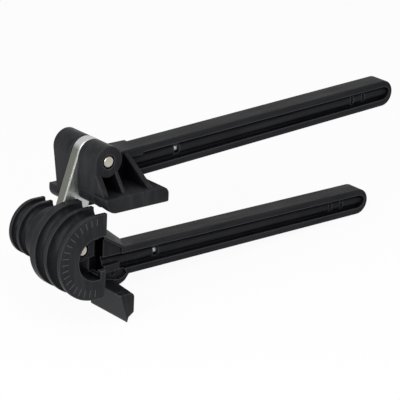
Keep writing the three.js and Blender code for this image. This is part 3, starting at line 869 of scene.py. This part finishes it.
def plate(name, shoe, left, radius, under, y0, y1, edge=0.0):
    top, round_off = under + shoe.thickness, shoe.end_round
    outline = [*corner((left + radius, under + radius), radius, 180, 270, steps=12), (shoe.right, under),
               *corner((shoe.right - round_off, top - round_off), round_off, 0, 90), (left, top)]
    return prism(name, outline, y0, y1, edge or shoe.edge)


def shoe_rib(name, x, thickness, inner, top, outer, foot, foot_z, edge):
    base = foot_z - OVERLAP
    outline = [(inner, top), (outer, top), (foot, foot_z), (foot, base), (inner, base)]
    return prism(name, outline, x, x + thickness, edge, "X")


def cheek(shoe, left, low, y0, y1):
    """The left side of a knuckle down to its plate."""
    wide = shoe.rib_wide
    outline = [(-shoe.knuckle, 0), (left, low), (left + wide, low), (wide - shoe.knuckle, 0)]
    return prism("cheek", outline, y0, y1, shoe.edge)


def upper_moulding(scene):
    former, link, handle, shoe = scene.former_sizes, scene.link_sizes, scene.handle_sizes, scene.shoe_sizes
    where = stations(former, link)
    front, rear, near, far = where["front"], where["rear"], -shoe.knuckle_front, shoe.knuckle_rear
    inner, half, edge = link.thickness / 2 + shoe.knuckle_clearance, handle.width / 2, shoe.edge
    drop = former.rim_over + shoe.running - link.length
    under_large, under_small = former.bend_large + drop, former.bend_small + drop
    top_large, top_small = under_large + shoe.thickness, under_small + shoe.thickness
    seat, seat_rear = top_large - NICK, top_small - OVERLAP
    bar_top = handle.upper_mid + handle.height / 2
    top_line = [(handle.upper_recess, seat), (handle.upper_recess, bar_top - handle.flange / 2),
                (shoe.block_start, bar_top), (0, 0)]
    front_wall = [(-shoe.knuckle, 0), (shoe.left_inner, seat), *top_line]
    end = shoe.right - shoe.end_round
    rear_wall = [(-shoe.knuckle, 0), (shoe.left_rear, seat_rear), (end, seat_rear), (end, seat), *top_line]
    foot, root_foot, rear_foot = front + shoe.rib_foot, front + shoe.rib_root_foot, rear - shoe.rib_root_foot
    lift = Matrix.Rotation(-handle.upper_tilt, 4, "Y") @ Matrix.Translation((0, 0, handle.upper_mid))

    def rib(name, x, thickness, top, outer, foot, edge=edge):
        return shoe_rib(name, x, thickness, -inner, top, outer, foot, top_large, edge)

    def rear_rib(name, x, top, outer):
        return shoe_rib(name, x, shoe.rib_thin, inner, top, outer, rear_foot, top_small, edge)

    body = join(
        rod("front_knuckle", shoe.knuckle, near, -inner, edge=0.5 * MM),
        rod("rear_knuckle", shoe.knuckle, inner, far, edge=0.5 * MM),
        plate("front_plate", shoe, shoe.left_front, shoe.corner_front, under_large, front, near,
              edge=shoe.plate_edge),
        plate("inner_plate", shoe, shoe.left_inner, shoe.corner_inner, under_large, near - OVERLAP,
              shoe.wall),
        plate("rear_plate", shoe, shoe.left_rear, shoe.corner_rear, under_small, inner, rear),
        prism("front_wall", front_wall, -shoe.wall, 0, edge),
        prism("rear_wall", rear_wall, -NICK, shoe.wall, edge),
        block("root_block", shoe.block_start, shoe.block_right, -half, shoe.block_rear,
              bar_top - handle.flange, bar_top, edge),
        cheek(shoe, shoe.left_inner, seat, near, -inner),
        cheek(shoe, shoe.left_rear, seat_rear, inner, far),
        rib("wide_rib", -shoe.knuckle, shoe.rib_wide, shoe.rib_top, near, foot),
        rib("middle_rib", shoe.rib_middle, shoe.rib_thin, shoe.rib_top, near, foot),
        rib("root_rib", shoe.rib_root_front, shoe.rib_root_thick, bar_top, -half, root_foot, shoe.plate_edge),
        rear_rib("rear_rib", shoe.rib_middle, shoe.rib_top, far),
        rear_rib("rear_root_rib", shoe.rib_root, bar_top, shoe.block_rear),
        place(handle_bar("upper_bar", handle, shoe.block_start + shoe.knuckle, handle.upper_recess,
                         handle.upper_end), lift))

    windows = handle_cuts(handle, handle.upper_core, handle.upper_near, handle.upper_far)
    room, left, low = link.half_width + link.end_clearance, shoe.left_front - OVERLAP, under_small - OVERLAP
    return cut(body, *(place(each, lift) for each in windows),
               prism("slot", [(left, 0), (left, low), (shoe.slot_end, low), (room, 0)], -inner, inner),
               rod("link_room", room, -inner, inner), *pin_cuts(former, link, shoe, where),
               *(rod("groove", groove(tube, former), left, shoe.right + OVERLAP, y=y, z=bend - link.length,
                     sides=64, along="X") for y, tube, bend in all_grooves(former, where)))


# Operators

class TUBEBENDER_OT_lower(bpy.types.Operator):
    """Models the lower moulding: former, root, handle and hook"""
    bl_idname = "tubebender.lower"
    bl_label = "Lower moulding"

    def execute(self, context):
        scene = context.scene
        piece = place(lower_moulding(scene), tool_place(scene.link_sizes))
        deliver(piece, "lower_moulding", "lower", "black_plastic", plastic_finish(scene), "former_handle")
        return {"FINISHED"}


class TUBEBENDER_OT_marks(bpy.types.Operator):
    """Models the angle marks on the face of the former"""
    bl_idname = "tubebender.marks"
    bl_label = "Angle marks"

    def execute(self, context):
        scene = context.scene
        marks, former, link = scene.mark_sizes, scene.former_sizes, scene.link_sizes
        front, outer = stations(former, link)["front"], former.bend_large + former.rim_over - marks.inset
        half, sunk = marks.width / 2, 0.1 * MM
        first = block("mark", -half, half, front - marks.height, front + sunk, outer - marks.size, outer,
                      edge=0.05 * MM)
        turns = [-math.pi * step / (marks.count - 1) for step in range(1, marks.count)]
        others = [place(copy(first), Matrix.Rotation(turn, 4, "Y")) for turn in turns]
        only(first)
        for piece in others:
            piece.select_set(True)
        bpy.ops.object.join()
        place(first, tool_place(link))
        deliver(first, "angle_marks", "lower", "black_plastic", plastic_finish(scene))
        return {"FINISHED"}


class TUBEBENDER_OT_upper(bpy.types.Operator):
    """Models the upper moulding: knuckles, shoe, ribs and handle"""
    bl_idname = "tubebender.upper"
    bl_label = "Upper moulding"

    def execute(self, context):
        scene = context.scene
        piece = place(upper_moulding(scene), shoe_place(scene.link_sizes))
        deliver(piece, "upper_moulding", "upper", "black_plastic", plastic_finish(scene), "shoe_handle")
        return {"FINISHED"}


class TUBEBENDER_OT_link(bpy.types.Operator):
    """Models the steel link"""
    bl_idname = "tubebender.link"
    bl_label = "Link"

    def execute(self, context):
        scene = context.scene
        link = scene.link_sizes
        half, bore = link.thickness / 2, link.pin_radius + link.pin_fit
        outline = [*corner((0, link.length), link.half_width, 0, 180, steps=40),
                   *corner((0, 0), link.half_width, 180, 360, steps=40)]
        piece = prism("link_body", outline, -half, half, link.edge)
        cut(piece, *(rod("bore", bore, -link.thickness, link.thickness, z=z) for z in (0, link.length)))
        place(piece, tool_place(link) @ Matrix.Rotation(link.lean, 4, "Y"))
        plated = finish("zinc_plated_steel", zinc, scene.finishes, link)
        deliver(piece, "steel_link", "link", "zinc_link", plated, "link")
        return {"FINISHED"}


class TUBEBENDER_OT_pins(bpy.types.Operator):
    """Models the two pins"""
    bl_idname = "tubebender.pins"
    bl_label = "Pins"

    def execute(self, context):
        scene = context.scene
        link, shoe = scene.link_sizes, scene.shoe_sizes
        first = rod("pin", link.pin_radius, -shoe.knuckle_front, shoe.knuckle_rear, sides=72)
        bpy.ops.object.mode_set(mode="EDIT")
        select(first, "FACE", lambda face: abs(face.normal.y) > 0.9)  # the two ends
        bpy.ops.mesh.inset(thickness=1.1 * MM, depth=0)
        bpy.ops.mesh.inset(thickness=0.5 * MM, depth=-0.12 * MM)
        done()
        round_edges(first, link.pin_chamfer, angle=60)
        second = copy(first)
        turned = finish("turned_bright_steel", steel, scene.finishes.steel, scene.finishes.steel_gloss)
        for piece, spot, name, body, node in (
                (first, tool_place(link), "former_pin_turned", "lower", "former_pin"),
                (second, shoe_place(link), "shoe_pin_turned", "upper", "shoe_pin")):
            deliver(place(piece, spot), name, body, "bright_steel", turned, node)
        return {"FINISHED"}


class TUBEBENDER_OT_cores(bpy.types.Operator):
    """Gives the steel cores of the handles their finish"""
    bl_idname = "tubebender.cores"
    bl_label = "Cores"

    def execute(self, context):
        colours = context.scene.finishes
        drawn = finish("drawn_bright_steel", steel, colours.core, colours.steel_gloss)
        for name in ("lower_core_rod", "upper_core_rod"):
            core = frame["nodes"][name]
            core.data.materials.clear()
            core.data.materials.append(drawn)
        return {"FINISHED"}


def make_floor(stage):
    def matt(tree):
        shader = tree.shade(Base_Color=(*stage.floor, 1), Roughness=0.9, Specular_IOR_Level=0.1)
        glow = tree.node("ShaderNodeEmission", {}).outputs["Emission"]
        glowing = tree.math("MULTIPLY", tree.seen(), stage.floor_glow)
        tree.mix_surface(glowing, shader, glow, "Material Output")

    bpy.ops.object.select_all(action="DESELECT")
    bpy.ops.mesh.primitive_plane_add(size=8, location=(0, 0, 0))
    floor = bpy.context.object
    floor.name = "floor"
    floor.data.materials.append(finish("pale_floor", matt))


def make_world(scene, stage):
    world = bpy.data.worlds.new("studio")
    world.use_nodes = True
    scene.world = world
    tree = Tree(world.node_tree)
    white = (1, 1, 1, 1)
    light, backdrop = (tree.node("ShaderNodeBackground", {"Color": white, "Strength": strength}).outputs[0]
                       for strength in (stage.world, 1))
    tree.mix_surface(tree.seen(), light, backdrop, "World Output")


def make_lamp(name, spot, size, watts):
    bpy.ops.object.select_all(action="DESELECT")
    bpy.ops.object.light_add(type="AREA", location=spot)
    lamp = bpy.context.object
    lamp.name = name
    lamp.data.shape = "DISK"
    lamp.data.size = size
    lamp.data.energy = watts
    lamp.rotation_euler = (-Vector(spot)).to_track_quat("-Z", "Y").to_euler()


def make_camera(scene, stage, link):
    """Places the camera by its angles and its distance from the former's axis."""
    a, e, r = stage.azimuth, stage.elevation, stage.roll
    back = Vector((math.sin(a) * math.cos(e), -math.cos(a) * math.cos(e), math.sin(e)))
    right = Vector((math.cos(a), math.sin(a), 0))
    up = back.cross(right)
    across = right * math.cos(r) + up * math.sin(r)
    upward = up * math.cos(r) - right * math.sin(r)
    pose = Matrix((across, upward, back)).transposed().to_4x4()
    pose.translation = across * stage.aside + upward * stage.above + back * stage.distance
    bpy.ops.object.camera_add()
    camera = bpy.context.object
    camera.name = "photo_camera"
    camera.matrix_world = tool_place(link) @ pose
    camera.data.lens = stage.lens
    camera.data.sensor_width = 36
    camera.data.clip_start = 0.05
    camera.data.clip_end = 20
    scene.camera = camera


class TUBEBENDER_OT_stage(bpy.types.Operator):
    """Sets up the floor, the lamps and the camera"""
    bl_idname = "tubebender.stage"
    bl_label = "Stage"

    def execute(self, context):
        scene = context.scene
        stage = scene.stage_settings
        make_floor(stage)
        make_world(scene, stage)
        make_lamp("key", spot=(-0.4, -0.6, 0.6), size=0.5, watts=4.6)
        make_lamp("side", spot=(-0.75, -0.25, 0.35), size=0.4, watts=3.0)
        make_camera(scene, stage, scene.link_sizes)
        scene.view_settings.view_transform = "Standard"
        return {"FINISHED"}


class TUBEBENDER_PT_panel(bpy.types.Panel):
    """Lists the steps of the model"""
    bl_label = "Tube Bender"
    bl_idname = "TUBEBENDER_PT_panel"
    bl_space_type = "VIEW_3D"
    bl_region_type = "UI"
    bl_category = "Tube Bender"

    def draw(self, context):
        for step in STEPS:
            self.layout.operator(step.bl_idname)
        for group in GROUPS:
            box = self.layout.box()
            box.label(text=group.replace("_", " ").capitalize())
            settings = getattr(context.scene, group)
            for name in settings.__annotations__:
                box.prop(settings, name)


GROUPS = {
    "former_sizes": FormerSizes,
    "hook_sizes": HookSizes,
    "link_sizes": LinkSizes,
    "handle_sizes": HandleSizes,
    "shoe_sizes": ShoeSizes,
    "mark_sizes": MarkSizes,
    "finishes": FinishSettings,
    "stage_settings": StageSettings,
}

STEPS = (
    TUBEBENDER_OT_lower,
    TUBEBENDER_OT_marks,
    TUBEBENDER_OT_upper,
    TUBEBENDER_OT_link,
    TUBEBENDER_OT_pins,
    TUBEBENDER_OT_cores,
    TUBEBENDER_OT_stage,
)


def register():
    for name, group in GROUPS.items():
        bpy.utils.register_class(group)
        setattr(bpy.types.Scene, name, PointerProperty(type=group))
    for step in STEPS:
        bpy.utils.register_class(step)
    bpy.utils.register_class(TUBEBENDER_PT_panel)


def unregister():
    bpy.utils.unregister_class(TUBEBENDER_PT_panel)
    for step in reversed(STEPS):
        bpy.utils.unregister_class(step)
    for name, group in reversed(GROUPS.items()):
        delattr(bpy.types.Scene, name)
        bpy.utils.unregister_class(group)


def main():
    register()
    bpy.ops.tubebender.lower()
    bpy.ops.tubebender.marks()
    bpy.ops.tubebender.upper()
    bpy.ops.tubebender.link()
    bpy.ops.tubebender.pins()
    bpy.ops.tubebender.cores()
    bpy.ops.tubebender.stage()


if __name__ == "__main__":
    main()
